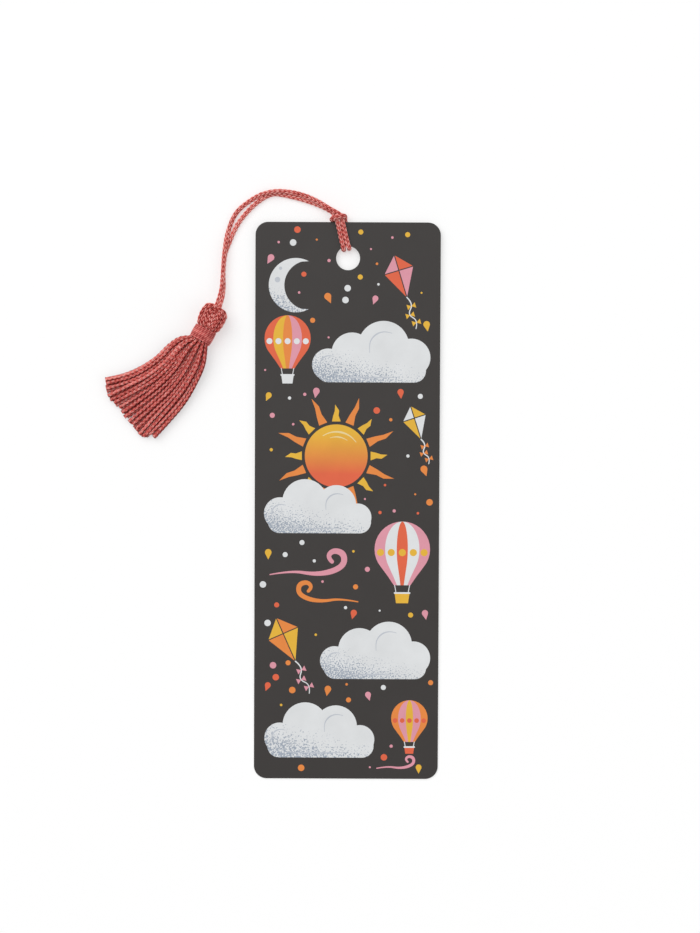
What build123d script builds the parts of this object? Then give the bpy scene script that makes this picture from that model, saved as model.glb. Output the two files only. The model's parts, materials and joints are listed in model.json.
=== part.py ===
"""A bookmark: a printed card with a corded tassel hitched through its hole.

Millimetres. The bookmark lies face up on a table at Z = 0. Its card is centred on the origin, with
the cord hole at the +Y end, and leans a little, because two turns of cord pass under that end.
"""

import os
from math import asin, cos, degrees, hypot, pi, radians, sin, sqrt, tan

from build123d import *

# Card
card_length = 152.4
card_width = 50.5
card_thickness = 0.5
corner_radius = 3.5
hole_diameter = 6.5
hole_from_top = 9.8

# Cord, hitched round the edge of the card between the hole and the top end
cord_diameter = 1.2
hitch_lean = 12.8
edge_wrap_radius = 1.0
card_gap = 0.08
hole_gap = 0.15
cord_gap = 0.06
swing_gap = 0.1
bend_share = 0.45

# Free cord, from the hitch's collar to the knot in the tassel's head
outer_route = [
    (-6.3, 81.2, 2.6),
    (-11.0, 83.1, 1.3),
    (-16.2, 84.4, 0.66),
    (-21.3, 84.3, 0.64),
    (-25.9, 82.7, 0.64),
    (-29.6, 79.7, 0.66),
    (-32.0, 75.6, 0.85),
    (-33.2, 70.8, 1.5),
    (-33.9, 65.9, 1.9),
    (-34.3, 61.2, 2.15),
    (-34.9, 57.3, 2.95),
]
inner_route = [
    (-6.4, 79.9, 1.4),
    (-11.2, 81.6, 0.8),
    (-16.2, 82.9, 0.63),
    (-21.0, 82.9, 0.62),
    (-25.0, 81.0, 0.62),
    (-28.5, 77.8, 0.62),
    (-31.1, 73.6, 0.62),
    (-32.7, 69.0, 0.62),
    (-33.6, 64.6, 0.62),
    (-33.9, 60.6, 0.85),
    (-33.9, 57.2, 1.75),
]
knot_diameter = 2.5
knot_length = 1.8
knot_fillet = 0.5
cord_entry_angle = 19.0
cord_entry_length = 3.0

# Tassel head and neck
tassel_pivot_x = -36.5
tassel_pivot_y = 50.55
tassel_angle = 29.4
crown_reach = 2.65
neck_drop = 3.5
bulge_drop = 1.5
head_pitch = 1.1
head_strand_width = 1.0
head_strand_height = 0.8
head_row_gap = 0.04
slot_gap = 0.1
tuck_rise = 0.3
neck_pitch = 0.78
neck_strand = 0.64
binding_length = 4.4
binding_wall = 0.32
binding_crown = 0.12
binding_gap = 0.08
nests_in_rows = (3, 3, 2)
arch_steps = 6

# Tassel skirt, fanned out on the table in two layers
strand_diameter = 1.2
layer_gap = 0.06
floor_gap = 0.02
skirt_length = 28.3
skirt_width = 18.6
left_edge_shares = [(0.081, -0.22), (0.27, -0.387), (0.51, -0.608), (0.753, -0.935)]
right_edge_shares = [(0.12, 0.156), (0.336, 0.2), (0.654, 0.167), (1.0, 0.065)]
cut_bulge_shares = [0.0, 0.01, 0.035, 0.08]
settle_shares = [0.15, 0.85, 1.0, 1.0]
drop_shares = [0.15, 0.5, 0.85, 1.0]
thickness_shares = [0.52, 0.54, 0.75, 1.0]

# Sizes that follow from those above
cord_radius = cord_diameter / 2
hole_radius = hole_diameter / 2
pair_pitch = cord_diameter + cord_gap
leg_offset = pair_pitch / 2
post_offset = leg_offset + pair_pitch
front_height = card_thickness + card_gap + cord_radius
back_height = -card_gap - cord_radius
collar_height = front_height + pair_pitch
leaning_edge = (hole_from_top + post_offset * sin(radians(hitch_lean))) / cos(radians(hitch_lean))
collar_distance = leaning_edge + edge_wrap_radius
stub_distance = collar_distance + cord_radius
pivot_distance = stub_distance + cord_radius + swing_gap
turn_distance = sqrt((hole_radius - cord_radius - hole_gap) ** 2 - leg_offset**2)
turn_radius = bend_share * (front_height - back_height)
hole_height = card_length - hole_from_top
foot_distance = hole_height + (turn_distance + turn_radius) * cos(radians(hitch_lean))
card_lean = degrees(asin((card_gap + cord_diameter) / foot_distance))

# The card's plane stands on its bottom edge; the hitch's plane is on the hole, along its leaning legs
card_plane = Plane((0, -card_length / 2, 0), x_dir=(1, 0, 0)).rotated((card_lean, 0, 0))
hole_point = card_plane.from_local_coords(Vector(0, hole_height, 0))
hitch_plane = Plane(hole_point, x_dir=card_plane.x_dir, z_dir=card_plane.z_dir).rotated((0, 0, hitch_lean))

row_heights = [
    slot_gap + cord_radius + head_strand_height / 2 + row * (head_strand_height + head_row_gap)
    for row in range(len(nests_in_rows))
]
axis_height = row_heights[-1] + head_strand_height / 2 + floor_gap
tassel_pivot = Vector(tassel_pivot_x, tassel_pivot_y, axis_height)
tassel_plane = Plane(tassel_pivot).rotated((0, 0, -tassel_angle))
knot_plane = Plane(tassel_pivot).rotated((0, 0, -cord_entry_angle))
neck_bottom = neck_drop + binding_length


def bend_radii(route):
    """Radius at each inner point of a cord's route: as large as its two runs allow."""
    radii = []
    for before, corner, after in zip(route, route[1:], route[2:]):
        run_in = Vector(corner) - Vector(before)
        run_out = Vector(after) - Vector(corner)
        half_turn = radians(run_in.get_angle(run_out)) / 2
        radii.append(bend_share * min(run_in.length, run_out.length) / tan(half_turn))
    return radii


def cord_tube(label, route, radii):
    """A length of cord: straight runs joined by tangent arcs, with a round section."""
    with BuildPart() as tube:
        with BuildLine() as path:
            FilletPolyline(*route, radius=radii)
        centre_line = path.wire()
        with BuildSketch(Plane(centre_line @ 0, z_dir=centre_line % 0)):
            Circle(cord_radius)
        sweep()
    tube.part.label = label
    section_volume = pi * cord_radius**2 * centre_line.length
    print(f"{label}: length {centre_line.length:.1f}, least radius {min(radii):.2f}, "
          f"volume {tube.part.volume:.2f} of {section_volume:.2f}")
    return tube.part


# Card: one thickness of board with rounded corners and the punched cord hole
with BuildPart() as card:
    with BuildSketch(card_plane):
        with Locations((0, card_length / 2)):
            RectangleRounded(card_width, card_length, corner_radius)
        with Locations((0, hole_height)):
            Circle(hole_radius, mode=Mode.SUBTRACT)
    extrude(amount=card_thickness)
card.part.label = "card"

# Hitch: the bight of the cord comes through the hole from the front, goes up behind the card and over
# its top edge, and closes as a collar over the two standing legs.
half_hitch = [
    (leg_offset, stub_distance, front_height),
    (leg_offset, turn_distance, front_height),
    (leg_offset, turn_distance, back_height),
    (post_offset, collar_distance, back_height),
    (post_offset, collar_distance, collar_height),
]
half_radii = [turn_radius, turn_radius, edge_wrap_radius, pair_pitch]
hitch_route = half_hitch + [(-across, along, up) for across, along, up in reversed(half_hitch)]
hitch_points = [hitch_plane.from_local_coords(Vector(*point)) for point in hitch_route]
hitch_loop = cord_tube("hitch_loop", hitch_points, half_radii + half_radii[::-1])

# Free cord: the two standing legs leave the collar one above the other, lie side by side on the table
# and run one above the other into the tassel's head, where they end on the knot.
cord_ends = []
for side in (-1, 1):
    entry_x = side * leg_offset
    knot_top = knot_plane.from_local_coords(Vector(entry_x, knot_length / 2, 0))
    mouth = knot_plane.from_local_coords(Vector(entry_x, knot_length / 2 + cord_entry_length, 0))
    cord_ends.append([mouth, knot_top])
outer_start = hitch_plane.from_local_coords(Vector(0, pivot_distance, front_height + leg_offset))
inner_start = hitch_plane.from_local_coords(Vector(0, pivot_distance, front_height - leg_offset))
outer_points = [outer_start, *outer_route, *cord_ends[0]]
inner_points = [inner_start, *inner_route, *cord_ends[1]]
outer_strand = cord_tube("cord_outer_strand", outer_points, bend_radii(outer_points))
inner_strand = cord_tube("cord_inner_strand", inner_points, bend_radii(inner_points))
print("outer radii", [round(radius, 1) for radius in bend_radii(outer_points)])
print("inner radii", [round(radius, 1) for radius in bend_radii(inner_points)])

# End knot: the two ends of the cord drawn into one tight barrel, held inside the head
with BuildPart() as end_knot:
    with BuildSketch(Plane(knot_plane.origin, x_dir=knot_plane.x_dir, z_dir=knot_plane.y_dir)):
        Circle(knot_diameter / 2)
    extrude(amount=knot_length / 2, both=True)
    fillet(end_knot.edges().filter_by(GeomType.CIRCLE).sort_by(Axis.Y)[0], knot_fillet)
end_knot.part.label = "end_knot"

# Binding: fine thread wound close round the neck, as a sleeve that swells a little between its ends
neck_reaches = [hypot(nests - 0.5, row + 0.5) * neck_pitch for row, nests in enumerate(nests_in_rows)]
bore_radius = max(neck_reaches) + neck_strand / 2 + binding_gap
wall_radius = bore_radius + binding_wall
with BuildPart() as neck_binding:
    with BuildSketch(tassel_plane):
        with BuildLine():
            Polyline((wall_radius, -neck_bottom), (bore_radius, -neck_bottom),
                     (bore_radius, -neck_drop), (wall_radius, -neck_drop))
            ThreePointArc((wall_radius, -neck_drop),
                          (wall_radius + binding_crown, -neck_drop - binding_length / 2),
                          (wall_radius, -neck_bottom))
        make_face()
    revolve(axis=Axis(tassel_plane.origin, tassel_plane.y_dir))
neck_binding.part.label = "neck_binding"


def strand_directions(points):
    """Direction of a strand at each of its points, halfway between the runs that meet there."""
    runs = [(after - before).normalized() for before, after in zip(points, points[1:])]
    joined = [(run_in + run_out).normalized() for run_in, run_out in zip(runs, runs[1:])]
    return [runs[0], *joined, runs[-1]]


def head_stations(row, nest, level):
    """Stations over the head, from the left leg's neck to the right leg's: point, width and height."""
    tucked = row == 0 and nest < nests_in_rows[row] - 1
    neck_height = level * (row + 0.5) * neck_pitch
    if tucked:
        arch_radius = (nest + 0.5) * neck_pitch
        spring = tuck_rise - neck_drop
        height, size = neck_height, (neck_strand, neck_strand)
        left_leg = []
    else:
        arch_radius = (nest + 0.5) * head_pitch
        crown = crown_reach - head_strand_width / 2 - (nests_in_rows[row] - 1 - nest) * head_pitch
        spring = crown - arch_radius
        height, size = level * row_heights[row], (head_strand_width, head_strand_height)
        left_leg = [
            (Vector(-(nest + 0.5) * neck_pitch, -neck_drop, neck_height), (neck_strand, neck_strand)),
            (Vector(-arch_radius, -bulge_drop, height), size),
        ]
    arch = []
    for step in range(arch_steps + 1):
        turn = pi * step / arch_steps
        arch.append((Vector(-arch_radius * cos(turn), spring + arch_radius * sin(turn), height), size))
    right_leg = [(Vector(-point.X, point.Y, point.Z), sizes) for point, sizes in reversed(left_leg)]
    return left_leg + arch + right_leg


def skirt_stations(row, nest, level, side):
    """Stations of one leg, from the foot of the neck to its cut end: point, width and height."""
    column_nests = [*reversed(range(nests_in_rows[0])), *range(nests_in_rows[0])]
    column_legs = [sum(nests > column_nest for nests in nests_in_rows) for column_nest in column_nests]
    column = nests_in_rows[0] + nest if side > 0 else nests_in_rows[0] - 1 - nest
    slot = sum(column_legs[:column]) + row
    place = 2 * slot / (sum(column_legs) - 1) - 1
    neck_height = (row + 0.5) * neck_pitch
    layer_height = (strand_diameter + layer_gap) / 2
    full_drop = axis_height - floor_gap - strand_diameter - layer_gap / 2
    stations = [(Vector(side * (nest + 0.5) * neck_pitch, -neck_bottom, level * neck_height),
                 (neck_strand, neck_strand))]
    tables = zip(left_edge_shares, right_edge_shares, cut_bulge_shares, settle_shares, drop_shares,
                 thickness_shares)
    mix = (place + 1) / 2
    for left, right, bulge, settle, drop, thickness in tables:
        down = skirt_length * (left[0] + (right[0] - left[0]) * mix + bulge * (1 - place**2))
        across = skirt_width * (left[1] + (right[1] - left[1]) * mix)
        height = level * (neck_height + (layer_height - neck_height) * settle) - full_drop * drop
        size = strand_diameter * thickness
        stations.append((Vector(across, -neck_bottom - down, height), (size, size)))
    return stations


def tassel_strand(label, row, nest, level):
    """One strand of the tassel, folded over in the head, with both of its legs in the skirt."""
    left_leg = skirt_stations(row, nest, level, -1)
    right_leg = skirt_stations(row, nest, level, 1)
    stations = left_leg[::-1] + head_stations(row, nest, level) + right_leg
    points = [tassel_plane.from_local_coords(point) for point, size in stations]
    with BuildPart() as strand:
        for point, direction, (_, (width, height)) in zip(points, strand_directions(points), stations):
            with BuildSketch(Plane(point, x_dir=Vector(0, 0, 1).cross(direction), z_dir=direction)):
                Polygon((width / 2, 0), (width / 4, height / 2), (-width / 4, height / 2),
                        (-width / 2, 0), (-width / 4, -height / 2), (width / 4, -height / 2), align=None)
        loft(ruled=True)
    strand.part.label = label
    return strand.part


# Tassel strands: nested folds in rows above and below the slot that the cord comes through
tassel_strands = []
for level in (1, -1):
    for row, nests in enumerate(nests_in_rows):
        for nest in range(nests):
            label = f"tassel_strand_{len(tassel_strands) + 1:02d}"
            tassel_strands.append(tassel_strand(label, row, nest, level))

os.makedirs("parts", exist_ok=True)
for piece in (card.part, hitch_loop, outer_strand, inner_strand, end_knot.part, neck_binding.part,
              *tassel_strands):
    export_step(piece, f"parts/{piece.label}.step")

# Joint axes, and the places where pages and a pocket meet the card
print("card normal", card_plane.z_dir, "lean", card_lean)
print("hitch axis at", hole_point)
print("cord axis at", hitch_plane.from_local_coords(Vector(0, pivot_distance, front_height)))
print("tassel axis at", tassel_pivot)
print("card centre at", card_plane.from_local_coords(Vector(0, card_length / 2, card_thickness / 2)))
print("foot edge at", card_plane.from_local_coords(Vector(0, 0, card_thickness / 2)), -card_plane.y_dir)
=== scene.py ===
"""A bookmark: a printed card with a knitted coral cord and tassel hitched through its hole.

It lies face up on a white table and is seen from straight above. Places and sizes on the bookmark are
mostly written in millimetres, and the value mm turns them into metres, the unit of the scene.
"""

import json
import math
import random

import bmesh
import bpy
import numpy as np
from mathutils import Matrix, Vector
from mathutils.geometry import delaunay_2d_cdt


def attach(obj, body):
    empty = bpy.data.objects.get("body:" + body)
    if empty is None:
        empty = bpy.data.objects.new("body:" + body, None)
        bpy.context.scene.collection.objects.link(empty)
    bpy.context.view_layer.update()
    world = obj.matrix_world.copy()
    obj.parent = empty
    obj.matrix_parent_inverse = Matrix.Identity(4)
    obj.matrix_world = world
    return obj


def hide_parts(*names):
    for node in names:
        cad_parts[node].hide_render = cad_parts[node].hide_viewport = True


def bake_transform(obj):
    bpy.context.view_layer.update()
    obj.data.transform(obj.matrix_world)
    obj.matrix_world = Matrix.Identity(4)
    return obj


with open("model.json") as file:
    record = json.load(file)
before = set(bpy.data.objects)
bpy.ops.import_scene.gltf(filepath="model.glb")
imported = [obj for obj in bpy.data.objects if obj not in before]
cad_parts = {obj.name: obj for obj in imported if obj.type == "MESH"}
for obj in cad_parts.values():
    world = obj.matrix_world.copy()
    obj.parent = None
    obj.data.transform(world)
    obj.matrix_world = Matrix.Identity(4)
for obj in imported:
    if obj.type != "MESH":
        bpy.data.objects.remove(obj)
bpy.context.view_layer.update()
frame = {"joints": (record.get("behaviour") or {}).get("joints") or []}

# Table and camera: a plain white table, which glows a little so that its shadows stay pale, in even light.
# The camera looks down from 0.6 m, tipped and turned a little to match the photograph.
mm = 0.001
aim = Vector((0.78, 9.59, 1.0)) * mm
camera_distance = 0.6
camera_tip = math.radians(1.45)
camera_roll = math.radians(0.262)
picture_rows = 933
pixels_per_mm = 3.656
picture_height_mm = picture_rows / pixels_per_mm
sensor_mm = 36.0
camera_data = bpy.data.cameras.new("camera")
camera_data.sensor_fit = "VERTICAL"
camera_data.sensor_height = sensor_mm
camera_data.lens = sensor_mm * camera_distance / (picture_height_mm * mm)
camera = bpy.data.objects.new("camera", camera_data)
camera_turn = Matrix.Rotation(camera_roll, 4, "Z") @ Matrix.Rotation(-camera_tip, 4, "X")
camera.matrix_world = Matrix.Translation(aim) @ camera_turn @ Matrix.Translation((0, 0, camera_distance))
bpy.context.scene.collection.objects.link(camera)
bpy.context.scene.camera = camera

floor_half = 6.0
table_grey = (0.5, 0.5, 0.5, 1)
light_white = (1, 1, 1, 1)
table_glow = 0.49
table_roughness = 0.7
floor_mesh = bpy.data.meshes.new("floor")
bm = bmesh.new()
bmesh.ops.create_grid(bm, x_segments=1, y_segments=1, size=floor_half)
bm.to_mesh(floor_mesh)
bm.free()
floor = bpy.data.objects.new("floor", floor_mesh)
bpy.context.scene.collection.objects.link(floor)
floor_paint = bpy.data.materials.new("table_white")
floor_paint.use_nodes = True
floor_shader = floor_paint.node_tree.nodes["Principled BSDF"]
floor_shader.inputs["Base Color"].default_value = table_grey
floor_shader.inputs["Emission Color"].default_value = light_white
floor_shader.inputs["Emission Strength"].default_value = table_glow
floor_shader.inputs["Roughness"].default_value = table_roughness
floor_mesh.materials.append(floor_paint)

room_light = 0.42
lamp_spread = math.radians(55)
lamps = (("soft_key", (-0.5, 0.6, 1.2), 1.75), ("soft_fill", (0.9, -0.2, 1.0), 0.45))
world = bpy.data.worlds.new("studio")
world.use_nodes = True
world.node_tree.nodes["Background"].inputs["Color"].default_value = light_white
world.node_tree.nodes["Background"].inputs["Strength"].default_value = room_light
bpy.context.scene.world = world
bpy.context.scene.view_settings.view_transform = "Standard"
for lamp_name, place, strength in lamps:
    lamp_data = bpy.data.lights.new(lamp_name, "SUN")
    lamp_data.angle = lamp_spread
    lamp_data.energy = strength
    lamp = bpy.data.objects.new(lamp_name, lamp_data)
    lamp.matrix_world = (-Vector(place)).to_track_quat("-Z", "Y").to_matrix().to_4x4()
    bpy.context.scene.collection.objects.link(lamp)

# Card: one stiff board, printed edge to edge on its face, cut with round corners and punched with one hole
# for the cord. The face is charcoal with bright sky motifs; the cut edges show the board's pale core.
card_length_mm = 152.4
card_width_mm = 50.5
card_thickness_mm = 0.5
corner_mm = 3.5
hole_radius_mm = 3.25
hole_height_mm = 66.4
card_lean = math.radians(0.5030995763)
charcoal = (0.03, 0.0255, 0.0235)
white = (0.71, 0.725, 0.735)
mist = (0.5, 0.53, 0.58)
pink = (0.7, 0.29, 0.36)
orange = (0.76, 0.23, 0.04)
red = (0.72, 0.115, 0.045)
yellow = (0.75, 0.43, 0.03)
cream = (0.78, 0.62, 0.3)
steps_per_span = 24
most_stroke_points = 60
stroke_thinning = 3
stroke_end_steps = 6
prints = []


def spline_line(points):
    """Points along a smooth line: a NURBS spline with the given points as its control points."""
    curve = bpy.data.curves.new("line", "CURVE")
    curve.dimensions = "3D"
    curve.resolution_u = steps_per_span
    spline = curve.splines.new("NURBS")
    spline.points.add(len(points) - 1)
    for place, point in zip(spline.points, points):
        place.co = (*point, 1)
    spline.order_u = 3
    spline.use_endpoint_u = True
    holder = bpy.data.objects.new("line", curve)
    mesh = bpy.data.meshes.new_from_object(holder)
    line = np.array([vertex.co for vertex in mesh.vertices], float)
    bpy.data.meshes.remove(mesh)
    bpy.data.objects.remove(holder)
    bpy.data.curves.remove(curve)
    return line


def on_circle(centre_x, centre_y, radius, turn):
    """The point of a circle at a turn in degrees."""
    angle = math.radians(turn)
    return (centre_x + radius * math.cos(angle), centre_y + radius * math.sin(angle))


def arc(centre_x, centre_y, radius, start=0.0, end=360.0, steps=32):
    """Points round part of a circle, between two turns in degrees. A whole circle has each point once."""
    count = steps if end - start >= 360 else steps + 1
    turns = [start + (end - start) * step / steps for step in range(count)]
    return [on_circle(centre_x, centre_y, radius, turn) for turn in turns]


def turned(x, y, turn, points, size=1.0):
    """Points turned by degrees about their own origin, scaled and set down at a place on the card."""
    along = size * math.cos(math.radians(turn))
    beside = size * math.sin(math.radians(turn))
    return [(x + across * along - up * beside, y + across * beside + up * along) for across, up in points]


def put(outline, colour, fade=None, grain=None):
    """Print a shape over the ones before it. Fade is a second colour with the heights of both; grain is a
    point where spray begins, the way it thickens and its depth."""
    sides = zip(outline, outline[1:] + outline[:1])
    anticlockwise = sum(one[0] * two[1] - two[0] * one[1] for one, two in sides) > 0
    prints.append((outline if anticlockwise else outline[::-1], colour, fade, grain))


def put_stroke(points, widths, colour):
    """Print a brush stroke with round ends along a smooth line."""
    line = spline_line([(x, y, 0) for x, y in points])[:, :2]
    line = line[::stroke_thinning] if len(line) > most_stroke_points else line
    heading = np.gradient(line, axis=0)
    heading /= np.linalg.norm(heading, axis=1)[:, None]
    beside = np.stack([-heading[:, 1], heading[:, 0]], 1)
    half = np.interp(np.linspace(0, len(widths) - 1, len(line)), range(len(widths)), widths)[:, None] / 2
    tip = math.degrees(math.atan2(*heading[-1][::-1]))
    tail = math.degrees(math.atan2(*heading[0][::-1]))
    outline = [tuple(point) for point in line + beside * half]
    outline += arc(*line[-1], half[-1][0], tip - 90, tip + 90, stroke_end_steps)[::-1][1:-1]
    outline += [tuple(point) for point in (line - beside * half)[::-1]]
    outline += arc(*line[0], half[0][0], tail + 90, tail + 270, stroke_end_steps)[::-1][1:-1]
    put(outline, colour)


def put_cloud(x, y, puffs, base_left, base_right, base_depth):
    """Print a cloud: round puffs on a flat base with round ends, sprayed darker low down."""
    spray_rise = 1.0
    spray_way = (-0.25, -1.0)
    spray_spare = 1.5
    curl_turns = (200, 170, 140, 110, 80, 60)
    curl_share = 0.62
    curl_right = 0.3
    curl_down = 0.2
    curl_widths = (0.15, 0.42, 0.15)
    fold_left = 2
    fold_right = 4
    fold_heights = (1.4, 1.1, 1.5)
    fold_widths = (0.1, 0.4, 0.1)
    low = y - base_depth
    end_radius = base_depth / 2
    grain = ((x, y + spray_rise), spray_way, base_depth + spray_spare)
    base = arc(x + base_right, y - end_radius, end_radius, -90, 90, steps=14)
    base += arc(x + base_left, y - end_radius, end_radius, 90, 270, steps=14)
    put(base, white, grain=grain)
    for across, up, radius in puffs:
        put(arc(x + across, y + up, radius, steps=40), white, grain=grain)
    for across, up, radius in puffs[::2]:
        middle = (x + across + curl_right, y + up - curl_down)
        curl = [on_circle(*middle, radius * curl_share, turn) for turn in curl_turns]
        put_stroke(curl, curl_widths, mist)
    fold_places = (x + base_left + fold_left, x, x + base_right - fold_right)
    fold = [(place, low + height) for place, height in zip(fold_places, fold_heights)]
    put_stroke(fold, fold_widths, mist)


def put_kite(x, y, tall, turn, colour, other, tail):
    """Print a four-panel kite with crossed spars and a bowed tail."""
    corners = ((0, 0.46), (0, -0.54), (-0.34, 0.1), (0.34, 0.1), (0, 0.1))
    tail_bends = ((0, -0.54), (0.1, -0.72), (-0.1, -0.92), (0.1, -1.12), (-0.02, -1.3))
    spar_widths = (0.28, 0.28)
    tail_widths = (0.35, 0.3, 0.25)
    bow_shares = (0.25, 0.55, 0.85)
    bow_reach = 0.5 + 0.055 * tall
    bow_rise = 0.65 * bow_reach
    top, bottom, left, right, middle = turned(x, y, turn, corners, tall)
    put([top, left, middle], colour)
    put([top, middle, right], other)
    put([left, bottom, middle], other)
    put([middle, bottom, right], colour)
    put_stroke([top, middle, bottom], spar_widths, charcoal)
    put_stroke([left, middle, right], spar_widths, charcoal)
    path = turned(x, y, turn, tail_bends, tall)
    put_stroke(path, tail_widths, white)
    line = spline_line([(across, up, 0) for across, up in path])
    for share in bow_shares:
        bow_x, bow_y, _ = line[int(share * (len(line) - 1))]
        for side in (-1, 1):
            wing = [(0, 0), (side * bow_reach, bow_rise), (side * bow_reach, -bow_rise)]
            put(turned(bow_x, bow_y, turn, wing), tail)


def put_balloon(x, y, radius, colours, band):
    """Print a hot-air balloon: five striped gores with a band of dots, ropes and a basket."""
    gore_edges = (-1.0, -0.62, -0.2, 0.2, 0.62, 1.0)
    crown_turns = range(0, 131, 10)
    mouth = [(0.5, -1.0), (0.3, -1.3)]
    dot_spread = 0.97
    dot_drop = 0.12
    dot_share = 0.13
    rope_ends = ((0.27, -1.3), (0.21, -1.62))
    rope_widths = (0.22, 0.22)
    rim_widths = (0.45, 0.45)
    basket_half = 0.27 * radius
    basket_foot_half = 0.8 * basket_half
    basket_top = y - 1.58 * radius
    basket_foot = y - 1.95 * radius
    profile = [(math.sin(math.radians(turn)), math.cos(math.radians(turn))) for turn in crown_turns] + mouth
    gores = list(zip(gore_edges, gore_edges[1:]))
    for (left, right), colour in zip(gores, colours):
        one = [(x + radius * wide * left, y + radius * up) for wide, up in profile]
        two = [(x + radius * wide * right, y + radius * up) for wide, up in profile]
        put(one + two[:0:-1], colour)
    for left, right in gores:
        dot_x = x + radius * dot_spread * (left + right) / 2
        put(arc(dot_x, y - dot_drop * radius, radius * dot_share, steps=18), band)
    for side in (-1, 1):
        rope = [(x + side * across * radius, y + up * radius) for across, up in rope_ends]
        put_stroke(rope, rope_widths, white)
    rim = [(x - basket_half, basket_top), (x + basket_half, basket_top)]
    foot = [(x - basket_foot_half, basket_foot), (x + basket_foot_half, basket_foot)]
    put([rim[0], *foot, rim[1]], band)
    put_stroke(rim, rim_widths, white)


def put_drop(x, y, size, turn, colour):
    """Print a drop with one pointed end."""
    shoulder = 117
    point = (-2.2 * size, 0)
    put(turned(x, y, turn, arc(0, 0, size, -shoulder, shoulder, steps=20) + [point]), colour)


def put_gust(x, y, size, flip, colour):
    """Print a gust of wind: a tapered stroke ending in a curl."""
    bends = (
        (-12, -0.6), (-6, 0.5), (0, -0.5), (5, 0.2), (8.4, 2.2), (8.2, 5.4), (5.2, 6.2), (3.6, 4.2),
        (5.2, 2.8),
    )
    widths = (0.3, 1.5 * size, 1.7 * size, 1.1 * size)
    put_stroke([(x + flip * size * across, y + size * up) for across, up in bends], widths, colour)


drops = (
    (-5.5, 56.0, 0.95, 115, orange), (7.5, 55.5, 0.8, 70, pink), (-21.0, 66.5, 0.9, 60, pink),
    (21.5, 48.5, 0.9, 100, yellow), (-8.5, 30.2, 0.9, 80, pink), (21.0, 9.0, 0.95, 110, orange),
    (-21.5, 29.0, 0.8, 65, yellow), (14.5, 30.0, 0.85, 95, red), (-21.5, -14.0, 0.9, 90, yellow),
    (2.0, -30.5, 0.85, 75, red), (21.5, -30.5, 0.85, 100, pink), (-5.0, -51.5, 0.9, 80, orange),
    (6.0, -53.0, 0.8, 105, pink), (-21.5, -50.5, 0.8, 70, red), (20.0, -73.0, 0.8, 90, yellow),
)
for x, y, size, turn, colour in drops:
    put_drop(x, y, size, turn, colour)

moon_x, moon_y, moon_radius = -14.2, 59.0, 7.4
moon_tips = (62, 298)
bite_x, bite_radius = -10.6, 6.75
bite_tips = (256, 104)
moon_spray = ((-17.5, 58.0), (-0.5, -1.0), 5.0)
craters = ((-19.2, 60.5, 0.75), (-17.8, 55.6, 0.55), (-18.4, 63.6, 0.45))
moon = arc(moon_x, moon_y, moon_radius, *moon_tips, steps=40)
moon += arc(bite_x, moon_y, bite_radius, *bite_tips, steps=40)[1:-1]
put(moon, white, grain=moon_spray)
for x, y, size in craters:
    put(arc(x, y, size, steps=20), mist)

sun_x, sun_y, sun_radius = -3.0, 12.5, 8.6
sun_fade = (yellow, sun_y - 5.0, sun_y + 6.5)
ray_count = 16
ray_start, short_ray, long_ray = 9.4, 14.0, 17.0
ray_shape = ((0, -1.2), (0.35, -0.6), (0.65, -0.75), (1, 0.35), (0.62, 0.45), (0.32, 0.9), (0, 1.2))
glints = ((6.6, 35, 125, (0.2, 0.55, 0.2)), (5.2, 55, 110, (0.15, 0.4, 0.15)))
for number in range(ray_count):
    reach = (long_ray if number % 2 else short_ray) - ray_start
    ray = [(ray_start + reach * share, across) for share, across in ray_shape]
    put(turned(sun_x, sun_y, 360 * number / ray_count, ray), orange if number % 2 else yellow)
put(arc(sun_x, sun_y, sun_radius, steps=64), red, fade=sun_fade)
for radius, start, end, widths in glints:
    put_stroke(arc(sun_x, sun_y, radius, start, end, steps=8), widths, cream)

high_puffs = [(-11.5, -1.6, 4.4), (-5.0, 1.6, 5.6), (3.6, 3.4, 7.0), (11.2, 0.4, 5.2)]
sun_puffs = [(-10.8, -0.8, 4.4), (-4.0, 2.4, 6.2), (4.6, 1.6, 5.4), (10.4, -1.8, 3.8)]
low_puffs = [(-10.6, -1.2, 4.0), (-3.8, 2.0, 5.8), (4.2, 3.2, 6.4), (11.0, -0.4, 4.6)]
foot_puffs = [(-11.4, -1.0, 4.2), (-4.4, 2.6, 6.2), (4.0, 2.2, 5.8), (10.6, -1.4, 4.0)]
put_balloon(-16.4, 44.5, 6.3, (red, yellow, orange, pink, red), white)
put_kite(14.2, 62.0, 12.0, 17, pink, red, yellow)
put_cloud(6.2, 39.0, high_puffs, -11.5, 12.0, 6.4)
put_kite(18.6, 22.0, 9.5, 18, white, yellow, orange)
put_balloon(15.2, -13.0, 7.6, (pink, white, red, white, pink), yellow)
put_cloud(-7.5, -2.5, sun_puffs, -11.0, 11.0, 6.2)
put_gust(-9.0, -19.5, 1.0, 1, pink)
put_gust(-6.5, -27.0, 0.8, -1, orange)
put_kite(-16.8, -37.5, 13.0, 24, yellow, orange, pink)
put_cloud(7.4, -42.5, low_puffs, -10.5, 11.4, 6.2)
put_balloon(17.4, -59.5, 5.0, (orange, pink, yellow, pink, orange), red)
put_cloud(-6.8, -64.0, foot_puffs, -11.6, 11.2, 6.4)
put_gust(14.5, -73.0, 0.5, 1, pink)

dot_count = 64
dot_sizes = (0.28, 0.35, 0.45, 0.7, 0.9)
dot_inks = (pink, orange, red, white, yellow)
dot_limits = (23.6, 74.4)
dot_clearance = 1.1
dot_spacing = 3.2
print_draw = random.Random(21)
motif_areas = [np.array(outline) for outline, *_ in prints]
motif_points = np.concatenate([*motif_areas, np.array(arc(0, hole_height_mm, hole_radius_mm))])


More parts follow.
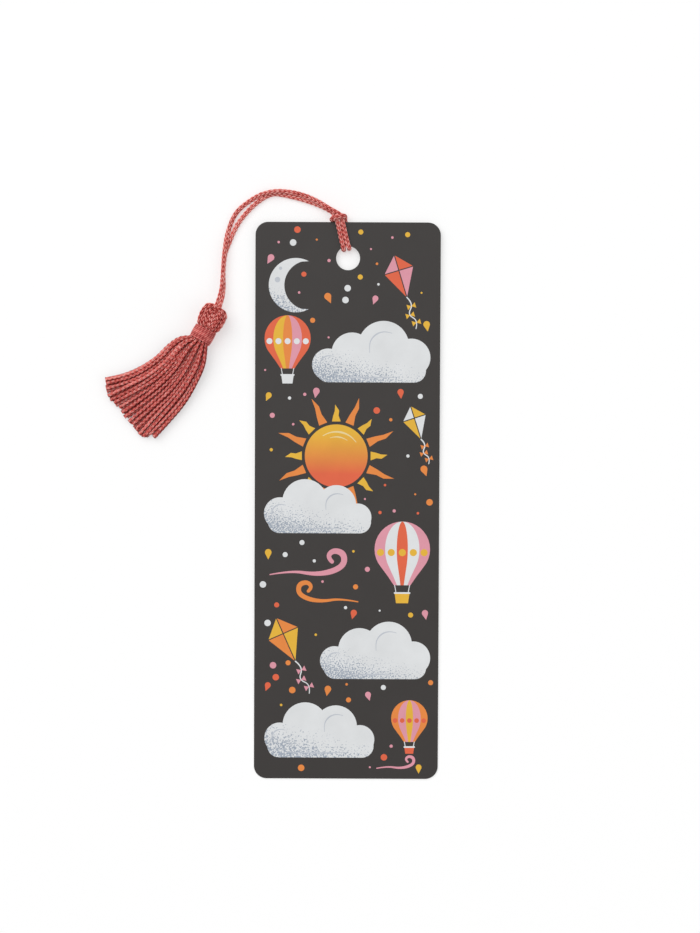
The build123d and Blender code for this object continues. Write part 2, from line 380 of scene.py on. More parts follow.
def goes_round(area, spot):
    """Whether an outline goes round a spot: a line from the spot to the right crosses the outline an odd
    number of times."""
    one, two = area, np.roll(area, -1, axis=0)
    passing = (one[:, 1] > spot[1]) != (two[:, 1] > spot[1])
    slope = (two[passing, 0] - one[passing, 0]) / (two[passing, 1] - one[passing, 1])
    return (one[passing, 0] + slope * (spot[1] - one[passing, 1]) > spot[0]).sum() % 2 == 1


dots = []
while len(dots) < dot_count:
    spot = np.array([print_draw.uniform(-limit, limit) for limit in dot_limits])
    dot_size = print_draw.choice(dot_sizes)
    crowded = np.linalg.norm(motif_points - spot, axis=1).min() < dot_size + dot_clearance
    crowded = crowded or any(math.dist(spot, other) < dot_spacing for other in dots)
    crowded = crowded or any(goes_round(area, spot) for area in motif_areas)
    if not crowded:
        put(arc(*spot, dot_size, steps=16), print_draw.choice(dot_inks))
        dots.append(spot)

# The face is parted along the motifs' outlines, and loose points between them keep its triangles even
loose_pitch = 1.5
loose_shift = 0.3
loose_columns = 16
loose_rows = 50
hole_margin = 0.5
inside_only = 1
least_gap = 1e-5
card_shape, hole_shape, first_print = 0, 1, 2
half_width, half_length = card_width_mm / 2, card_length_mm / 2
card_outline = []
for across, up, start in ((1, 1, 0), (-1, 1, 90), (-1, -1, 180), (1, -1, 270)):
    corner = (across * (half_width - corner_mm), up * (half_length - corner_mm))
    card_outline += arc(*corner, corner_mm, start, start + 90, steps=12)
hole_outline = arc(0, hole_height_mm, hole_radius_mm, steps=64)
places = []
shape_faces = []
for outline in [card_outline, hole_outline] + [outline for outline, *_ in prints]:
    shape_faces.append(list(range(len(places), len(places) + len(outline))))
    places += [Vector(point) for point in outline]
for column in range(-loose_columns, loose_columns + 1):
    for row in range(-loose_rows, loose_rows + 1):
        x = column * loose_pitch + print_draw.uniform(-loose_shift, loose_shift)
        y = row * loose_pitch + print_draw.uniform(-loose_shift, loose_shift)
        if math.dist((x, y), (0, hole_height_mm)) > hole_radius_mm + hole_margin:
            places.append(Vector((x, y)))
spots, _, pieces, _, _, sources = delaunay_2d_cdt(places, [], shape_faces, inside_only, least_gap)


def clamped(share):
    """A share held between none and all."""
    return min(1, max(0, share))


bm = bmesh.new()
corners = [bm.verts.new((spot.x, spot.y, card_thickness_mm)) for spot in spots]
ink_layer = bm.loops.layers.float_color.new("ink")
grain_layer = bm.loops.layers.float.new("grain")
for piece, source in zip(pieces, sources):
    if hole_shape in source or card_shape not in source:
        continue
    face = bm.faces.new([corners[index] for index in piece])
    top = max(source) - first_print
    _, colour, fade, grain = prints[top] if top >= 0 else (None, charcoal, None, None)
    for loop in face.loops:
        x, y = loop.vert.co.x, loop.vert.co.y
        tint = Vector(colour)
        if fade:
            other, low, high = fade
            tint = tint.lerp(Vector(other), clamped((y - low) / (high - low)))
        loop[ink_layer] = (*tint, 1)
        if grain:
            (from_x, from_y), (way_x, way_y), depth = grain
            loop[grain_layer] = clamped(((x - from_x) * way_x + (y - from_y) * way_y) / depth)
bmesh.ops.delete(bm, geom=[vertex for vertex in bm.verts if not vertex.link_faces], context="VERTS")
bmesh.ops.recalc_face_normals(bm, faces=bm.faces[:])
if sum(face.normal.z for face in bm.faces) < 0:
    bmesh.ops.reverse_faces(bm, faces=bm.faces[:])
bmesh.ops.solidify(bm, geom=bm.faces[:], thickness=card_thickness_mm)
bm.normal_update()

level_normal = 0.5
flat_angle = 0.01
print_finish, core_finish = 0, 1
for face in bm.faces:
    face.material_index = core_finish if abs(face.normal.z) < level_normal else print_finish
    if face.normal.z < -level_normal:
        for loop in face.loops:
            loop[ink_layer] = (*charcoal, 1)
            loop[grain_layer] = 0
under = [edge for edge in bm.edges if all(face.normal.z < -level_normal for face in edge.link_faces)]
under_corners = list(dict.fromkeys(vertex for edge in under for vertex in edge.verts))
bmesh.ops.dissolve_limit(bm, angle_limit=flat_angle, edges=under, verts=under_corners)
bmesh.ops.triangulate(bm, faces=[face for face in bm.faces if len(face.verts) > 4])
card_foot = Vector((0, -half_length * mm, 0))
bm.transform(
    Matrix.Translation(card_foot) @ Matrix.Rotation(card_lean, 4, "X")
    @ Matrix.Translation(-card_foot) @ Matrix.Scale(mm, 4)
)
card_mesh = bpy.data.meshes.new("card_printed")
bm.to_mesh(card_mesh)
bm.free()


def card_material(name):
    """A node material for card, with its shader, a cloudy and a speckled noise and the board's tooth."""
    cloud_noise = (150, 4)
    speck_noise = (2600, 1.5)
    tooth_noise = (1600, 3)
    tooth_strength = 0.35
    tooth_depth = 0.03 * mm
    material = bpy.data.materials.new(name)
    material.use_nodes = True
    nodes, links = material.node_tree.nodes, material.node_tree.links
    place = nodes.new("ShaderNodeTexCoord")
    noises = []
    for scale, detail in (cloud_noise, speck_noise, tooth_noise):
        noise = nodes.new("ShaderNodeTexNoise")
        noise.inputs["Scale"].default_value = scale
        noise.inputs["Detail"].default_value = detail
        links.new(place.outputs["Object"], noise.inputs["Vector"])
        noises.append(noise.outputs["Fac"])
    cloudy, speck, tooth = noises
    bump = nodes.new("ShaderNodeBump")
    bump.inputs["Strength"].default_value = tooth_strength
    bump.inputs["Distance"].default_value = tooth_depth
    links.new(tooth, bump.inputs["Height"])
    shader = nodes["Principled BSDF"]
    links.new(bump.outputs["Normal"], shader.inputs["Normal"])
    card_mesh.materials.append(material)
    return nodes, links, shader, cloudy, speck


spray_blue = (0.25, 0.3, 0.38, 1)
spray_gain = 0.26
spray_least = 0.29
speck_low = -0.02
speck_high = 0.05
spray_onset = 0.08
spray_most = 0.85
ink_least = 0.9
ink_most = 1.1
print_roughness = 0.5
print_shine = 0.4
nodes, links, shader, cloudy, speck = card_material("card_print")
ink = nodes.new("ShaderNodeAttribute")
ink.attribute_name = "ink"
grain = nodes.new("ShaderNodeAttribute")
grain.attribute_name = "grain"
level = nodes.new("ShaderNodeMath")
level.operation = "MULTIPLY_ADD"
level.inputs[1].default_value = spray_gain
level.inputs[2].default_value = spray_least
links.new(grain.outputs["Fac"], level.inputs[0])
above = nodes.new("ShaderNodeMath")
above.operation = "SUBTRACT"
links.new(level.outputs[0], above.inputs[0])
links.new(speck, above.inputs[1])
edge = nodes.new("ShaderNodeMapRange")
edge.inputs["From Min"].default_value = speck_low
edge.inputs["From Max"].default_value = speck_high
links.new(above.outputs[0], edge.inputs["Value"])
begun = nodes.new("ShaderNodeMapRange")
begun.inputs["From Max"].default_value = spray_onset
begun.inputs["To Max"].default_value = spray_most
links.new(grain.outputs["Fac"], begun.inputs["Value"])
sprayed = nodes.new("ShaderNodeMath")
sprayed.operation = "MULTIPLY"
links.new(edge.outputs[0], sprayed.inputs[0])
links.new(begun.outputs[0], sprayed.inputs[1])
mixed = nodes.new("ShaderNodeMix")
mixed.data_type = "RGBA"
mixed.inputs["B"].default_value = spray_blue
links.new(sprayed.outputs[0], mixed.inputs["Factor"])
links.new(ink.outputs["Color"], mixed.inputs["A"])
uneven = nodes.new("ShaderNodeMapRange")
uneven.inputs["To Min"].default_value = ink_least
uneven.inputs["To Max"].default_value = ink_most
links.new(cloudy, uneven.inputs["Value"])
toned = nodes.new("ShaderNodeHueSaturation")
links.new(mixed.outputs["Result"], toned.inputs["Color"])
links.new(uneven.outputs[0], toned.inputs["Value"])
links.new(toned.outputs["Color"], shader.inputs["Base Color"])
shader.inputs["Roughness"].default_value = print_roughness
shader.inputs["Specular IOR Level"].default_value = print_shine

core_dark = (0.42, 0.4, 0.36, 1)
core_light = (0.66, 0.64, 0.6, 1)
core_dark_level = 0.3
core_light_level = 0.7
core_roughness = 0.8
nodes, links, shader, _, speck = card_material("card_core")
fibre = nodes.new("ShaderNodeValToRGB")
fibre.color_ramp.elements[0].position = core_dark_level
fibre.color_ramp.elements[0].color = core_dark
fibre.color_ramp.elements[1].position = core_light_level
fibre.color_ramp.elements[1].color = core_light
links.new(speck, fibre.inputs["Fac"])
links.new(fibre.outputs["Color"], shader.inputs["Base Color"])
shader.inputs["Roughness"].default_value = core_roughness

card = bpy.data.objects.new("card_printed", card_mesh)
bpy.context.scene.collection.objects.link(card)
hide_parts("card")
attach(card, "card")

# Cord: chainette, a thin tube knitted from bright coral rayon. Its stitches lie in rows of V shapes. One
# length of it is doubled, hitched to the card, and knotted inside the tassel's head.
stitch_length = 1.3 * mm
wales = 4
points_per_leg = 4
rings_per_stitch = 8
least_stitches = 2
stitch_slant = 0.9
wale_shift = 0.5
stitch_relief = 0.44
ridge_power = 1.1
leg_power = 0.7
leg_edge = 0.03
stitch_tones = (0.72, 1.12)
spare_rows = 4
most_twist_per_metre = 60
# Painted light where strands lie close: their crowns are lifted by this share, and their flanks darken down
# to this floor
crown_lift = 0.2
flank_light = 0.12
cut_end_crest = 0.4
draw = random.Random(7)


def carried_up(ahead):
    """The upward direction at each ring of a route, carried along it without turning about it."""
    up = np.zeros_like(ahead)
    carried = np.array([0.0, 0.0, 1.0])
    for ring, direction in enumerate(ahead):
        carried = carried - direction * (carried @ direction)
        carried /= np.linalg.norm(carried)
        up[ring] = carried
    return up


def tube_faces(rings, around):
    """The faces of a closed tube: quads between its rings, and a fan at each end."""
    low = np.arange(rings - 1)[:, None] * around + np.arange(around)[None]
    high = np.arange(rings - 1)[:, None] * around + (np.arange(around)[None] + 1) % around
    quads = np.stack([low, low + around, high + around, high], -1).reshape(-1, 4)
    first, last = rings * around, rings * around + 1
    base = (rings - 1) * around
    ends = [(first, side, (side + 1) % around) for side in range(around)]
    ends += [(last, base + (side + 1) % around, base + side) for side in range(around)]
    return quads.tolist() + ends


def knitted_tube(name, points, sizes, material, turn=0.0, painted_light=0.0, flank_painted_shades=None):
    """A knitted cord along a route. Sizes are its width and height at each of the route's points; the last
    argument gives, at the same points, the share of painted shade on its flanks, where other strands lie
    close beside it, and a number given before it paints the whole piece lighter or darker."""
    twist = draw.uniform(-most_twist_per_metre, most_twist_per_metre)
    line = spline_line(points)
    section = spline_line([(*size, flank_painted_shade) for size, flank_painted_shade in zip(sizes, flank_painted_shades or [0.0] * len(sizes))])
    reach = np.concatenate([[0], np.cumsum(np.linalg.norm(np.diff(line, axis=0), axis=1))])
    stitches = max(least_stitches, round(reach[-1] / stitch_length))
    along = np.linspace(0, reach[-1], stitches * rings_per_stitch + 1)
    centre = np.stack([np.interp(along, reach, line[:, axis]) for axis in range(3)], 1)
    half = np.stack([np.interp(along, reach, section[:, axis]) for axis in range(2)], 1) / 2
    flank_painted_shade = np.interp(along, reach, section[:, 2])[:, None]
    ahead = np.gradient(centre, axis=0)
    ahead /= np.linalg.norm(ahead, axis=1)[:, None]
    up = carried_up(ahead)
    side = np.cross(ahead, up)

    around = wales * 2 * points_per_leg
    angle = np.arange(around) / around * 2 * math.pi
    wale = angle / (2 * math.pi) * wales
    across = 1 - np.abs(2 * (wale % 1) - 1)
    stitch = along[:, None] / stitch_length + stitch_slant * across[None]
    stitch = stitch + wale_shift * (np.floor(wale) % 2)[None]
    ridge = np.abs(np.sin(math.pi * stitch)) ** ridge_power
    crest = ridge * np.sin(math.pi * np.clip(across, leg_edge, 1 - leg_edge))[None] ** leg_power
    swell = 1 - stitch_relief * (1 - crest)
    facing = angle[None] + turn + twist * along[:, None]
    sideways = swell * np.cos(facing) * half[:, :1]
    upwards = swell * np.sin(facing) * half[:, 1:]
    skin = centre[:, None] + sideways[..., None] * side[:, None] + upwards[..., None] * up[:, None]
    places = np.concatenate([skin.reshape(-1, 3), centre[:1], centre[-1:]])

    legs = (wale * 2).astype(int)
    rows = range(stitches + spare_rows)
    tones = np.array([[draw.uniform(*stitch_tones) for _ in range(wales * 2)] for _ in rows])
    crest = crest * tones[np.floor(stitch).astype(int), legs[None]]
    # Painted shade on the flanks where strands lie close, and a painted highlight lifted onto their crowns
    crest = crest + flank_painted_shade * crown_lift * (1 - crest)
    crest = crest * (1 - flank_painted_shade * (1 - np.clip(flank_light + np.sin(facing), 0, 1)))
    # The crest attribute carries the stitches' painted shade and painted highlights into the yarn's colour
    crests = np.concatenate([crest.ravel(), [cut_end_crest, cut_end_crest]])
    # Tone: a random tone for the piece plus its painted light, which draws the whole piece lighter or
    # darker
    tone = painted_light + draw.uniform(-1, 1)

    mesh = bpy.data.meshes.new(name)
    mesh.from_pydata(places.tolist(), [], tube_faces(len(along), around))
    mesh.polygons.foreach_set("use_smooth", [True] * len(mesh.polygons))
    for label, values in (("crest", crests), ("tone", np.full(len(places), tone))):
        mesh.attributes.new(label, "FLOAT", "POINT").data.foreach_set("value", values.astype(np.float32))
    mesh.materials.append(material)
    piece = bpy.data.objects.new(name, mesh)
    bpy.context.scene.collection.objects.link(piece)
    return piece, line


def yarn_material(name, valley_painted_shade, middle, crown_painted_highlight):
    """Bright rayon yarn with fine filaments. Its colour runs from painted shade between the stitches,
    through the yarn's own colour, to painted highlights on their crowns.
    """
    mottle_scale = 700
    mottle_detail = 3
    mottle_share = 0.4
    tone_share = 0.09
    brightest = 1.25
    valley_level = 0.29
    middle_level = 0.55
    crown_level = 0.84
    filament_scale = 9000
    filament_strength = 0.25
    filament_depth = 0.05 * mm
    yarn_roughness = 0.5
    yarn_shine = 0.1
    material = bpy.data.materials.new(name)
    material.use_nodes = True
    nodes, links = material.node_tree.nodes, material.node_tree.links
    shader = nodes["Principled BSDF"]
    crest = nodes.new("ShaderNodeAttribute")
    crest.attribute_name = "crest"
    tone = nodes.new("ShaderNodeAttribute")
    tone.attribute_name = "tone"
    place = nodes.new("ShaderNodeTexCoord")
    mottle = nodes.new("ShaderNodeTexNoise")
    mottle.inputs["Scale"].default_value = mottle_scale
    mottle.inputs["Detail"].default_value = mottle_detail
    links.new(place.outputs["Object"], mottle.inputs["Vector"])
    lift = nodes.new("ShaderNodeMath")
    lift.operation = "MULTIPLY_ADD"
    lift.inputs[1].default_value = mottle_share
    links.new(mottle.outputs["Fac"], lift.inputs[0])
    links.new(crest.outputs["Fac"], lift.inputs[2])
    shift = nodes.new("ShaderNodeMath")
    shift.operation = "MULTIPLY_ADD"
    shift.inputs[1].default_value = tone_share
    links.new(tone.outputs["Fac"], shift.inputs[0])
    links.new(lift.outputs[0], shift.inputs[2])
    scaled = nodes.new("ShaderNodeMath")
    scaled.operation = "DIVIDE"
    scaled.inputs[1].default_value = brightest
    links.new(shift.outputs[0], scaled.inputs[0])
    # The ramp paints shade at low crest values and highlights at high ones
    ramp = nodes.new("ShaderNodeValToRGB")
    ramp.color_ramp.elements[0].position = valley_level
    ramp.color_ramp.elements[0].color = valley_painted_shade
    ramp.color_ramp.elements[1].position = middle_level
    ramp.color_ramp.elements[1].color = middle
    ramp.color_ramp.elements.new(crown_level).color = crown_painted_highlight
    links.new(scaled.outputs[0], ramp.inputs["Fac"])
    links.new(ramp.outputs["Color"], shader.inputs["Base Color"])
    filament = nodes.new("ShaderNodeTexNoise")
    filament.inputs["Scale"].default_value = filament_scale
    links.new(place.outputs["Object"], filament.inputs["Vector"])
    bump = nodes.new("ShaderNodeBump")
    bump.inputs["Strength"].default_value = filament_strength
    bump.inputs["Distance"].default_value = filament_depth
    links.new(filament.outputs["Fac"], bump.inputs["Height"])
    links.new(bump.outputs["Normal"], shader.inputs["Normal"])
    shader.inputs["Roughness"].default_value = yarn_roughness
    shader.inputs["Specular IOR Level"].default_value = yarn_shine
    return material


# Coral yarn: painted shade in the stitch valleys, the yarn's own coral, and painted highlights on the
# crowns
painted_shade_red = (0.16, 0.002, 0.002, 1)
coral = (0.82, 0.14, 0.118, 1)
painted_highlight_salmon = (1.0, 0.54, 0.49, 1)
coral_yarn = yarn_material("coral_yarn", painted_shade_red, coral, painted_highlight_salmon)

# Hitch: the bight of the cord goes through the hole from the front, up behind the card and over its top
# edge, and closes as a collar over the cord's own two legs.
hitch_size = 1.38 * mm
leg_width = 1.42 * mm
leg_height = 1.26 * mm
back_height = 1.18 * mm
# Painted shade: the hitch is drawn darker than the same yarn elsewhere
hitch_painted_shade = -0.6
hitch_lean = math.radians(12.8)
joints = {joint["name"]: joint for joint in frame["joints"]}
hole_place = Vector(joints["hitch_rock"]["pos_m"])
hitch_turn = Matrix.Rotation(card_lean, 4, "X") @ Matrix.Rotation(hitch_lean, 4, "Z")
hitch_space = Matrix.Translation(hole_place) @ hitch_turn


def on_hitch(across, along, up):
    """A point given in millimetres from the hole, along the hitch's legs and up from the card's back."""
    return hitch_space @ (Vector((across, along, up)) * mm)


right_leg = [(0.64, 12.1, 1.2), (0.65, 9.0, 1.2), (0.66, 5.2, 1.2), (0.76, 3.3, 1.22)]
right_back = [
    (0.9, 2.32, 0.95), (0.88, 2.32, -0.42), (0.9, 3.2, -0.62), (1.1, 6.6, -0.62), (1.35, 9.4, -0.62),
    (1.6, 11.1, -0.5),
]
collar = [
    (1.7, 11.3, 0.6), (1.55, 11.28, 1.85), (0.95, 11.5, 2.4), (0.1, 11.6, 2.5), (-0.9, 11.6, 2.5),
    (-1.75, 11.45, 2.2), (-2.08, 11.2, 1.55), (-2.1, 11.15, 0.5),
]
left_back = [
    (-2.0, 11.1, -0.5), (-1.7, 9.6, -0.62), (-1.2, 6.6, -0.62), (-0.74, 3.2, -0.62), (-0.62, 2.32, -0.42),
    (-0.62, 2.32, 0.95),
]
left_leg = [(-0.62, 3.3, 1.22), (-0.65, 5.2, 1.2), (-0.65, 9.0, 1.2), (-0.64, 12.1, 1.2)]
hitch_points = [on_hitch(*point) for point in right_leg + right_back + collar + left_back + left_leg]
leg_sizes = [(leg_width, leg_height)] * len(right_leg)
back_sizes = [(hitch_size, back_height)] * len(right_back)
hitch_sizes = leg_sizes + back_sizes + [(hitch_size, hitch_size)] * len(collar) + back_sizes + leg_sizes
hitch, _ = knitted_tube("hitch", hitch_points, hitch_sizes, coral_yarn, painted_light=hitch_painted_shade)
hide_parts("hitch_loop")
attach(hitch, "hitch")

# Free cord: its two strands come out under the collar, lie side by side on the table and run one above
# the other into the tassel's head, where their ends are knotted together.
outer_route = [
    (-5.3, 79.85, 2.95),
    (-8.05, 81.65, 2.15),
    (-10.8, 82.98, 1.6),
    (-13.5, 83.88, 1.45),
    (-16.2, 84.4, 1.5),
    (-18.9, 84.6, 1.85),
    (-21.6, 84.25, 1.75),
    (-24.2, 83.5, 0.98),
    (-26.9, 81.95, 0.73),
    (-29.5, 79.95, 0.73),
    (-31.1, 77.95, 0.73),
    (-32.15, 75.5, 0.75),
    (-32.85, 73.2, 0.95),
    (-33.3, 70.85, 1.5),
    (-33.65, 68.1, 1.95),
    (-33.95, 65.4, 2.05),
    (-34.1, 62.0, 2.15),
    (-34.3, 58.2, 2.75),
    (-35.15, 54.6, 3.2),
    (-36.4, 51.6, 3.2),
]
inner_route = [
    (-4.65, 79.15, 1.65),
    (-7.6, 80.65, 1.05),
    (-10.3, 81.68, 0.76),
    (-13.1, 82.52, 0.73),
    (-15.85, 83.2, 0.73),
    (-18.6, 83.75, 0.73),
    (-20.3, 83.9, 0.73),
    (-22.0, 83.4, 0.73),
    (-24.0, 82.2, 0.73),
    (-26.0, 80.55, 0.73),
    (-27.4, 79.1, 0.73),
    (-28.75, 77.55, 0.73),
    (-30.1, 75.7, 0.73),
    (-31.2, 73.6, 0.73),
    (-32.0, 71.7, 0.73),
    (-32.8, 69.7, 0.73),
    (-33.5, 67.8, 0.73),
    (-33.9, 65.0, 0.73),
    (-34.05, 61.5, 0.85),
    (-33.8, 58.0, 1.8),
    (-34.3, 54.4, 3.25),
    (-35.5, 51.2, 3.2),
]
outer_start = [(0.64, 10.6, 1.2), (0.6, 11.7, 1.25), (-0.05, 12.45, 1.75)]
inner_start = [(-0.64, 10.6, 1.2), (-0.7, 11.7, 1.2), (-1.2, 12.6, 1.0)]
free_size = 1.44 * mm
entry_size = 1.34 * mm
entry_points = 6
# Painted light: the free cord is drawn lighter than the same yarn elsewhere
free_cord_painted_light = 1.5
for name, start, route in (
    ("cord_outer", outer_start, outer_route),
    ("cord_inner", inner_start, inner_route),
):
    points = [on_hitch(*point) for point in start] + [Vector(point) * mm for point in route]
    sizes = [(free_size, free_size)] * (len(points) - entry_points)
    sizes += [(entry_size, entry_size)] * entry_points
    strand, line = knitted_tube(name, points, sizes, coral_yarn, painted_light=free_cord_painted_light)
    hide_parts(name + "_strand")
    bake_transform(strand)

# End knot: the two ends of the cord tied together in one tight overhand knot, out of sight in the tassel's
# head. It holds the tassel on the cord. Its line is a trefoil, drawn in small.
knot_size = 0.9 * mm
knot_steps = 24
knot_scale = 0.26
knot_depth = 0.24
tassel_pivot = Vector(joints["tassel_swing"]["pos_m"])
entry_angle = math.radians(-19.0)
knot_space = Matrix.Translation(tassel_pivot) @ Matrix.Rotation(entry_angle, 4, "Z")
knot_points = []
for step in range(knot_steps + 1):
    turn = 2 * math.pi * step / knot_steps
    knot_points.append(knot_space @ (Vector((
        knot_scale * (math.sin(turn) + 2 * math.sin(2 * turn)),
        knot_depth * math.sin(3 * turn),
        knot_scale * (math.cos(turn) - 2 * math.cos(2 * turn)),
    )) * mm))
knot_sizes = [(knot_size, knot_size)] * len(knot_points)
knot, _ = knitted_tube("end_knot_tied", knot_points, knot_sizes, coral_yarn)
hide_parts("end_knot")
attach(knot, "cord")

# Tassel strands: lengths of the same chainette, folded in half round the cord's knot. The folds make the
# head, the binding draws them in to the neck, and the cut ends fan out on the table in two layers.
tassel_angle = math.radians(-29.4)
tassel_space = Matrix.Translation(tassel_pivot) @ Matrix.Rotation(tassel_angle, 4, "Z")
nests_in_rows = (3, 3, 2)
most_nests = max(nests_in_rows)
neck_drop = 3.7
neck_bottom = 7.9
neck_pitch = 0.82
neck_size = 0.9
lay = random.Random(3)

# Head: rows of nested folds, dented where the cord goes in. On the right the middle rows are pressed
# together; on the left they leave a slot, in which the cord swings.
row_heights = (1.14, 1.95, 2.72)
head_pitch = 1.18
head_width = 1.45
head_height = 0.96
head_lean = -0.06
head_foot = -1.7
head_foot_pitch = 1.14
crown_reach = 3.05
crown_inset = 0.61
tucked_crown = 1.0
neck_cover = 1.2
shoulders = ((0.82, -0.1, 0.8, (1.0, 0.86)), (1.06, 0.45, 0.95, (1.3, 0.95)))
flank_shares = {-1: 0.9, 1: 0.5}
arch_steps = 8
arch_power = 0.62
dent_depth = 0.8
dent_turn = math.pi / 2 - 0.05
dent_width = 0.34
lobe_rise = 0.15
squeeze_share = 0.5


def head_stations(row, nest, level):
    """Points over the head in millimetres, from the left leg's neck to the right leg's, with sizes."""
    tucked = row == 0 and nest < nests_in_rows[row] - 1
    neck_height = level * (row + 0.5) * neck_pitch
    neck_x = (nest + 0.5) * neck_pitch
    if tucked:
        radius, spring, height = neck_x, tucked_crown - neck_drop, neck_height
        size = (neck_size, neck_size)
        legs = {-1: [], 1: []}
    else:
        radius = (nest + 0.5) * head_pitch
        spring = crown_reach - crown_inset - (nests_in_rows[row] - 1 - nest) * head_pitch - radius
        height = level * row_heights[row]
        size = (head_width, head_height)
        legs = {}
        for side, pressed in flank_shares.items():
            flank = height * (pressed if row == 0 else 1.0)
            legs[side] = [((side * neck_x, -neck_drop - neck_cover, neck_height), (neck_size, neck_size))]
            for pitch, rise, share, shoulder_size in shoulders:
                shoulder = (side * (nest + 0.5) * pitch, -neck_drop + rise, flank * share)
                legs[side].append((shoulder, shoulder_size))
            legs[side].append(((side * (nest + 0.5) * head_foot_pitch, head_foot, flank), size))
    stations = legs[-1][:]
    power = 1.0 if tucked else arch_power
    for step in range(arch_steps + 1):
        turn = math.pi * step / arch_steps
        x = -radius * math.copysign(abs(math.cos(turn)) ** power, math.cos(turn))
        y = spring + radius * math.sin(turn) ** power
        squeeze = 0.0
        if not tucked:
            x += head_lean
            y -= dent_depth * math.exp(-((turn - dent_turn) / dent_width) ** 2)
            y += lobe_rise * math.cos(turn) * math.sin(turn)
            squeeze = squeeze_share * min(0.0, math.cos(turn)) ** 4 if row == 0 else 0.0
        stations.append(((x, y, height * (1 - squeeze)), size))
    return stations + legs[1][::-1]


# Skirt: the legs fan out from the neck between two outer edges, sink down and end on the cut line
axis_height = tassel_pivot.z / mm
layer_height = 0.66
table_gap = 0.05
full_drop = axis_height - table_gap - 2 * layer_height
left_edge = [(-5.0, 9.6), (-6.7, 13.2), (-7.8, 17.6), (-10.6, 22.9), (-14.0, 27.0)]
right_edge = [(3.0, 10.0), (4.3, 13.3), (4.75, 18.5), (4.7, 24.5), (3.5, 30.8)]
cut_line = [
    (-17.25, 29.6), (-16.3, 31.4), (-14.8, 33.0), (-13.3, 34.1), (-11.5, 34.4), (-9.7, 34.9), (-8.6, 35.6),
    (-6.1, 36.5), (-4.3, 37.0), (-2.6, 37.9), (-0.4, 38.2), (0.9, 36.9), (2.0, 36.9),
]
cut_reach = np.cumsum([0] + [math.dist(one, two) for one, two in zip(cut_line, cut_line[1:])])
cut_shift = (-0.45, 0.3)
settle = [0.1, 0.4, 0.65, 0.85, 0.97, 1.0]
drop = [0.1, 0.3, 0.55, 0.8, 0.96, 1.0]
skirt_sizes = [1.1, 1.1, 1.1, 1.11, 1.12, 1.14]
sinks = (0.0, 0.1, 0.4, 0.1, 0.8, 0.1, 0.75, 0.0, 0.4, 0.8, 0.05, 0.45, 0.8, 0.1, 0.5, 0.0)
sink_steps = 2
lower_slide = 0.5
most_sway = 0.22
sway_steps = 3
outer_share = 0.1
outer_sway = 0.3


def skirt_stations(row, nest, level, side):
    """Points of one leg in millimetres, from the foot of the neck to its cut end, with sizes."""
    columns = [*reversed(range(most_nests)), *range(most_nests)]
    legs = [sum(nests > column for nests in nests_in_rows) for column in columns]
    column = most_nests + nest if side > 0 else most_nests - 1 - nest
    slot = sum(legs[:column]) + row
    slide = 0.0 if level > 0 else lower_slide
    mix = min(1.0, (slot + slide) / (sum(legs) - 1))
    end_x, end_y = (float(np.interp(mix * cut_reach[-1], cut_reach, places)) for places in zip(*cut_line))
    path = []
    for (left_x, left_y), (right_x, right_y) in zip(left_edge, right_edge):
        path.append((left_x + (right_x - left_x) * mix, left_y + (right_y - left_y) * mix))
    path.append((end_x, end_y + lay.uniform(*cut_shift)))
    sink = sinks[slot] if level > 0 else 0.0
    freedom = 1 if outer_share < mix < 1 - outer_share else outer_sway
    neck_height = (row + 0.5) * neck_pitch
    neck = (side * (nest + 0.5) * neck_pitch, -neck_bottom, level * neck_height)
    stations = [(neck, (neck_size, neck_size))]
    for step, (across, down) in enumerate(path):
        sway = lay.uniform(-most_sway, most_sway) * min(1, step / sway_steps) * freedom
        height = level * (neck_height + (layer_height - neck_height) * settle[step])
        height -= full_drop * drop[step]
        height -= sink * min(1, step / sink_steps)
        stations.append(((across + sway, -down, height), (skirt_sizes[step], skirt_sizes[step])))
    return stations


most_turn = 6
# Painted shade: the tassel's strands are drawn a little darker than the same yarn elsewhere
tassel_painted_shade = -0.25
neck_painted_shade = 0.5
tassel_pieces = []
for level in (1, -1):
    for row, nests in enumerate(nests_in_rows):
        for nest in range(nests):
            left_half = skirt_stations(row, nest, level, -1)
            right_half = skirt_stations(row, nest, level, 1)
            head = head_stations(row, nest, level)
            stations = left_half[::-1] + head + right_half
            points = [tassel_space @ (Vector(point) * mm) for point, size in stations]
            sizes = [(width * mm, height * mm) for point, (width, height) in stations]
            # Painted shade on the flanks of the skirt's legs, half as much at the neck, and none over the
            # head
            leg_painted_shades = [neck_painted_shade] + [1.0] * (len(left_half) - 1)
            flank_painted_shades = leg_painted_shades[::-1] + [0.0] * len(head) + leg_painted_shades
            number = len(tassel_pieces) + 1
            name = f"tassel_yarn_{number:02d}"
            turn = lay.uniform(0, most_turn)
            strand, _ = knitted_tube(name, points, sizes, coral_yarn, turn, tassel_painted_shade, flank_painted_shades)
            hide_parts(f"tassel_strand_{number:02d}")
            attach(strand, "tassel")
            tassel_pieces.append(strand)

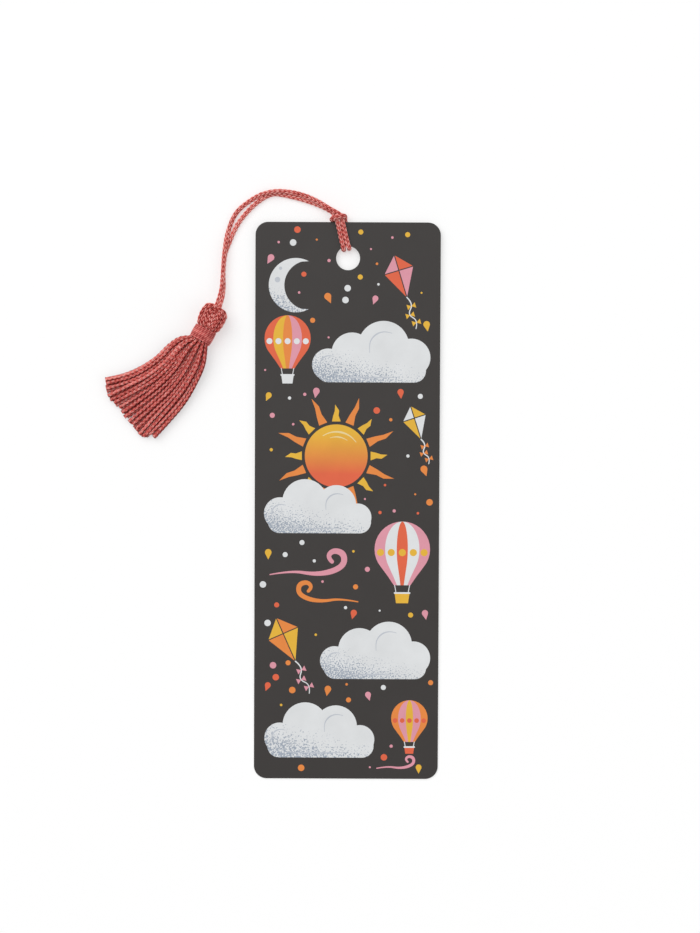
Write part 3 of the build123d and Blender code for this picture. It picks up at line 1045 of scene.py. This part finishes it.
# Neck binding: one fine coral thread of two plies, wound close round the folded strands under the head. Its
# own tension holds it, and both of its ends are tucked under the turns.
thread_shadow = (0.1, 0.003, 0.003, 1)
thread_red = (0.56, 0.085, 0.08, 1)
thread_light = (0.88, 0.27, 0.24, 1)
dark_thread = yarn_material("dark_thread", thread_shadow, thread_red, thread_light)
thread_pitch = 0.44 * mm
thread_width = 0.52 * mm
binding_radius = 2.82 * mm
binding_foot = -7.75 * mm
barrel = 0.12 * mm
thread_turns = 8.6
steps_per_turn = 120
thread_steps = round(thread_turns * steps_per_turn)
tuck_angle = math.radians(-60)
tuck_steps = 16
tuck_depth = 0.8 * mm
thread_sides = 10
twist_per_turn = 21
ply_relief = 0.26
ply_valley_shade = 0.35
ply_crown_light = 0.6
most_tone = 1.5
bm = bmesh.new()
crest_layer = bm.verts.layers.float.new("crest")
tone_layer = bm.verts.layers.float.new("tone")
turn_tones = [draw.uniform(-most_tone, most_tone) for _ in range(math.ceil(thread_turns))]
rings = []
for step in range(thread_steps + 1):
    turn = tuck_angle + 2 * math.pi * step / steps_per_turn
    tucked = max(0, 1 - step / tuck_steps, 1 - (thread_steps - step) / tuck_steps) * tuck_depth
    swell = barrel * math.sin(math.pi * step / thread_steps)
    ring = []
    for side in range(thread_sides):
        facing = 2 * math.pi * side / thread_sides
        crest = abs(math.cos(facing - turn * twist_per_turn / 2))
        out = thread_width / 2 * (1 - ply_relief + ply_relief * crest)
        reach = binding_radius + swell - tucked + out * math.cos(facing)
        height = thread_pitch * step / steps_per_turn + out * math.sin(facing)
        vertex = bm.verts.new((reach * math.cos(turn), reach * math.sin(turn), height))
        # Painted light on the thread: its side against the strands is painted shade, its ply valleys
        # painted darker and its ply crowns painted lighter
        vertex[crest_layer] = max(0.0, math.cos(facing)) * (ply_valley_shade + ply_crown_light * crest)
        vertex[tone_layer] = turn_tones[step // steps_per_turn]
        ring.append(vertex)
    rings.append(ring)
for ring, following in zip(rings, rings[1:]):
    for side in range(thread_sides):
        after = (side + 1) % thread_sides
        bm.faces.new((ring[side], ring[after], following[after], following[side]))
bm.faces.new(rings[0][::-1])
bm.faces.new(rings[-1])
bmesh.ops.recalc_face_normals(bm, faces=bm.faces[:])
lie_down = Matrix.Translation((0, binding_foot, 0)) @ Matrix.Rotation(-math.pi / 2, 4, "X")
bm.transform(tassel_space @ lie_down)
binding_mesh = bpy.data.meshes.new("binding_thread")
bm.to_mesh(binding_mesh)
bm.free()
binding_mesh.polygons.foreach_set("use_smooth", [True] * len(binding_mesh.polygons))
binding_mesh.materials.append(dark_thread)
binding = bpy.data.objects.new("binding_thread", binding_mesh)
bpy.context.scene.collection.objects.link(binding)
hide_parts("neck_binding")
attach(binding, "tassel")
